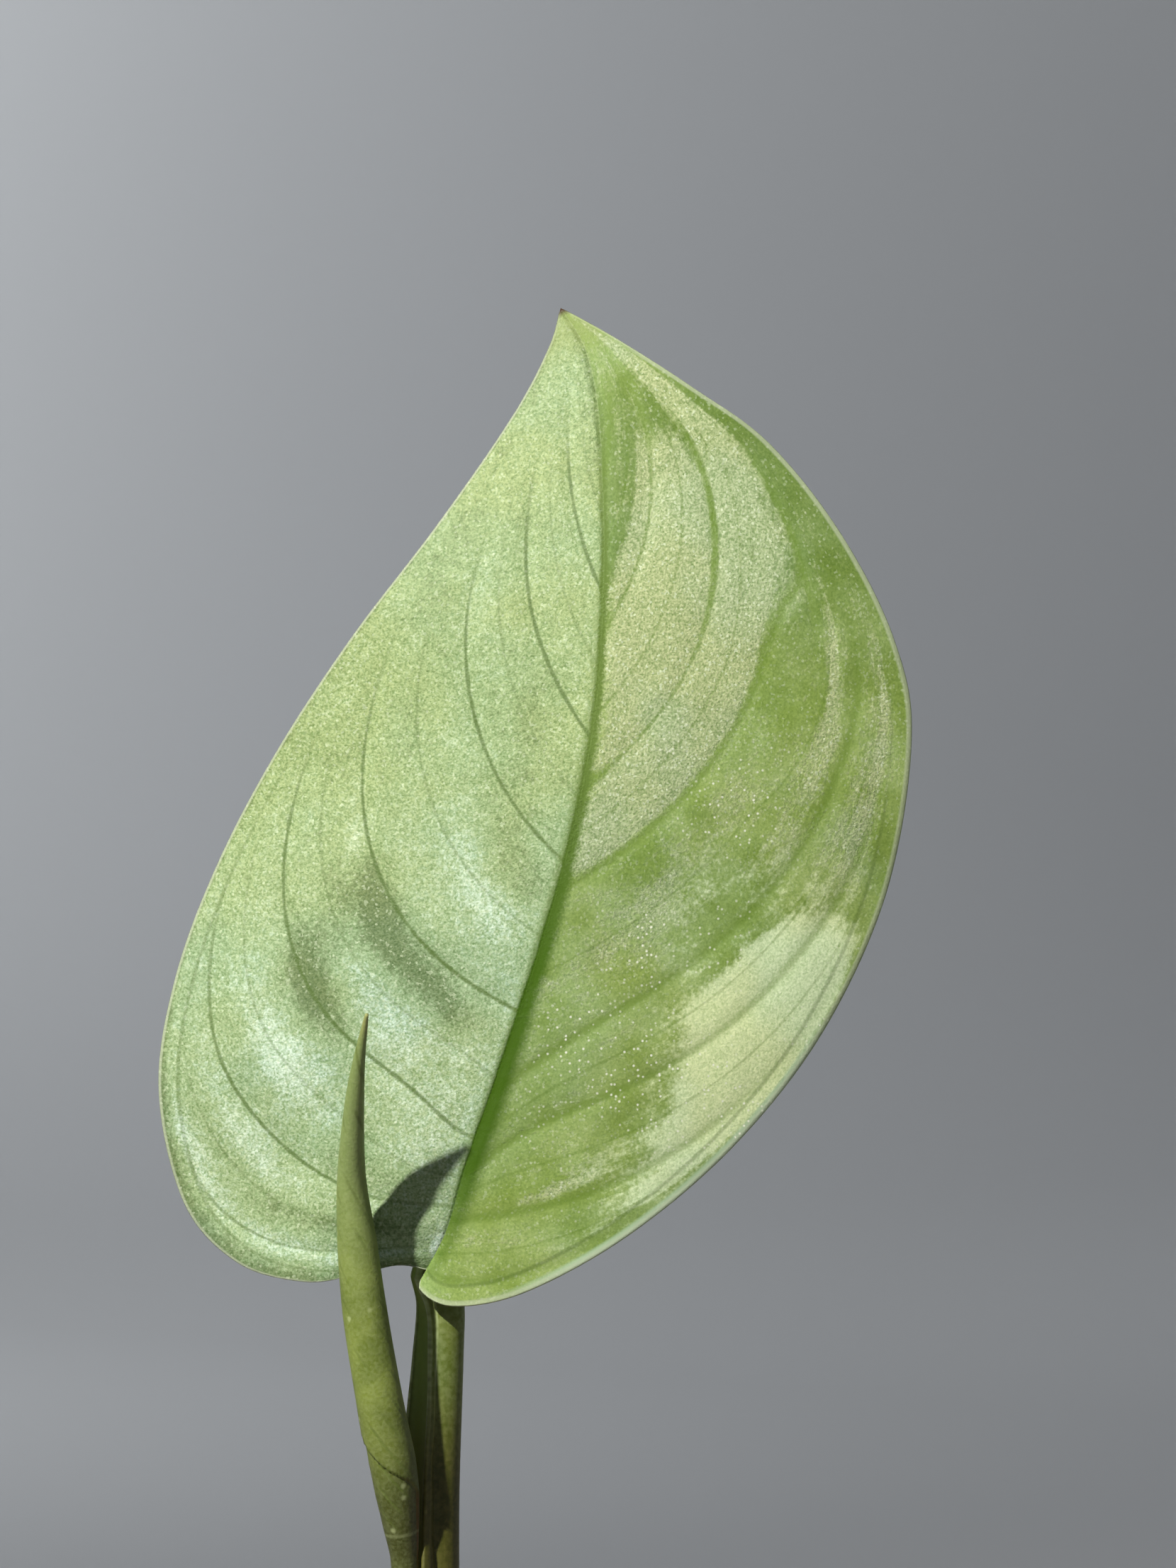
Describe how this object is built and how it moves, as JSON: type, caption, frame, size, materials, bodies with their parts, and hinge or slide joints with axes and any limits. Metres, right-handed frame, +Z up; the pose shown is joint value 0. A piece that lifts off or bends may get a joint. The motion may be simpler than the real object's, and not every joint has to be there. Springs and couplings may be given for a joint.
{
  "type": "potted scindapsus",
  "caption": "Young scindapsus cutting in a round clay pot: one open, lopsided heart-shaped leaf with silver-green mottling on a grooved stalk, and the next leaf still rolled beside it.",
  "frame": {"origin": "middle of the pot's foot, on the surface that it stands on", "axes": "+Z up the plant; +X to the right and -Y towards someone who looks at the open leaf's face"},
  "size_m": [0.09, 0.09, 0.1921],
  "materials": {
    "terracotta": "matte",
    "potting_mix": "matte",
    "bark": "matte",
    "perlite": "matte",
    "old_vine": "satin",
    "root": "matte",
    "dry_husk": "matte",
    "green_stem": "satin",
    "young_leaf": "satin",
    "leaf": "satin"
  },
  "bodies": {
    "root": {"clay_pot": "terracotta", "potting_mix": "potting_mix", "old_vine": "old_vine", "shoot": "green_stem", "husk": "dry_husk", "leaf_stalk": "green_stem", "leaf_blade": "leaf", "rolled_leaf": "young_leaf", "air_root": "root", "root_1": "root", "root_2": "root", "root_3": "root", "root_4": "root", "root_5": "root", "root_6": "root", "bark_chip_1": "bark", "bark_chip_2": "bark", "bark_chip_3": "bark", "bark_chip_4": "bark", "bark_chip_5": "bark", "bark_chip_6": "bark", "bark_chip_7": "bark", "bark_chip_8": "bark", "bark_chip_9": "bark", "bark_chip_10": "bark", "perlite_grain_1": "perlite", "perlite_grain_2": "perlite", "perlite_grain_3": "perlite", "perlite_grain_4": "perlite", "perlite_grain_5": "perlite", "perlite_grain_6": "perlite", "perlite_grain_7": "perlite", "perlite_grain_8": "perlite", "perlite_grain_9": "perlite", "perlite_grain_10": "perlite"}
  },
  "joints": []
}
